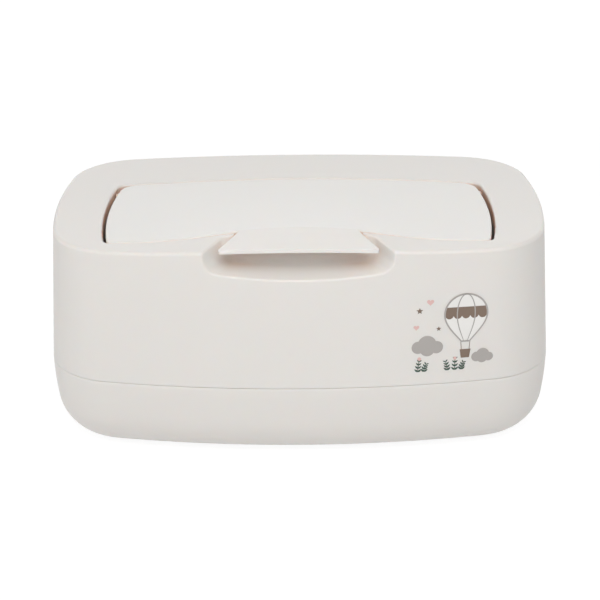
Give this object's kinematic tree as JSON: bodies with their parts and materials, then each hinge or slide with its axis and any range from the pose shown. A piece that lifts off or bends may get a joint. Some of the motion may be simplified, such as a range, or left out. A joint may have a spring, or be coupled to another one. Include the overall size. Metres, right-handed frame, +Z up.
{
  "type": "baby wipes box",
  "caption": "Rounded plastic box for baby wipes: a lift-off upper half on a dished base, with a hinged lid, thumb tab, finger scoop and an inner weighted plate.",
  "frame": {"origin": "middle of the box's footprint, on the surface it stands on", "axes": "+X to the box's right, -Y out of its front where the finger scoop is, +Z up"},
  "size_m": [0.2404, 0.1464, 0.1107],
  "materials": {
    "shell_plastic": "satin",
    "lid_plastic": "satin",
    "pin_plastic": "satin",
    "plate_plastic": "satin",
    "silicone": "matt",
    "foot_rubber": "matt",
    "weight_steel": "plain"
  },
  "bodies": {
    "base": {"base_tray": "shell_plastic", "base_seal": "silicone", "foot_front_left": "foot_rubber", "foot_front_right": "foot_rubber", "foot_rear_left": "foot_rubber", "foot_rear_right": "foot_rubber"},
    "cover": {"upper_shell": "shell_plastic"},
    "lid": {"lid_cover": "lid_plastic", "lid_liner": "lid_plastic", "lid_gasket": "silicone", "hinge_pin_left": "pin_plastic", "hinge_pin_right": "pin_plastic"},
    "press_plate": {"plate_cover": "plate_plastic", "plate_base": "plate_plastic", "plate_weight_front": "weight_steel", "plate_weight_rear": "weight_steel"}
  },
  "joints": [
    {"name": "cover_lift", "type": "slide", "parent": "base", "child": "cover", "axis": [0, 0, 1], "range_m": [0, 0.08]},
    {"name": "lid_hinge", "type": "hinge", "parent": "cover", "child": "lid", "pos_m": [0, 0.0182, 0.0999], "axis": [-1, 0, 0], "range_deg": [0, 95]},
    {"name": "plate_slide", "type": "slide", "parent": "base", "child": "press_plate", "axis": [0, 0, 1], "range_m": [0, 0.065]}
  ]
}
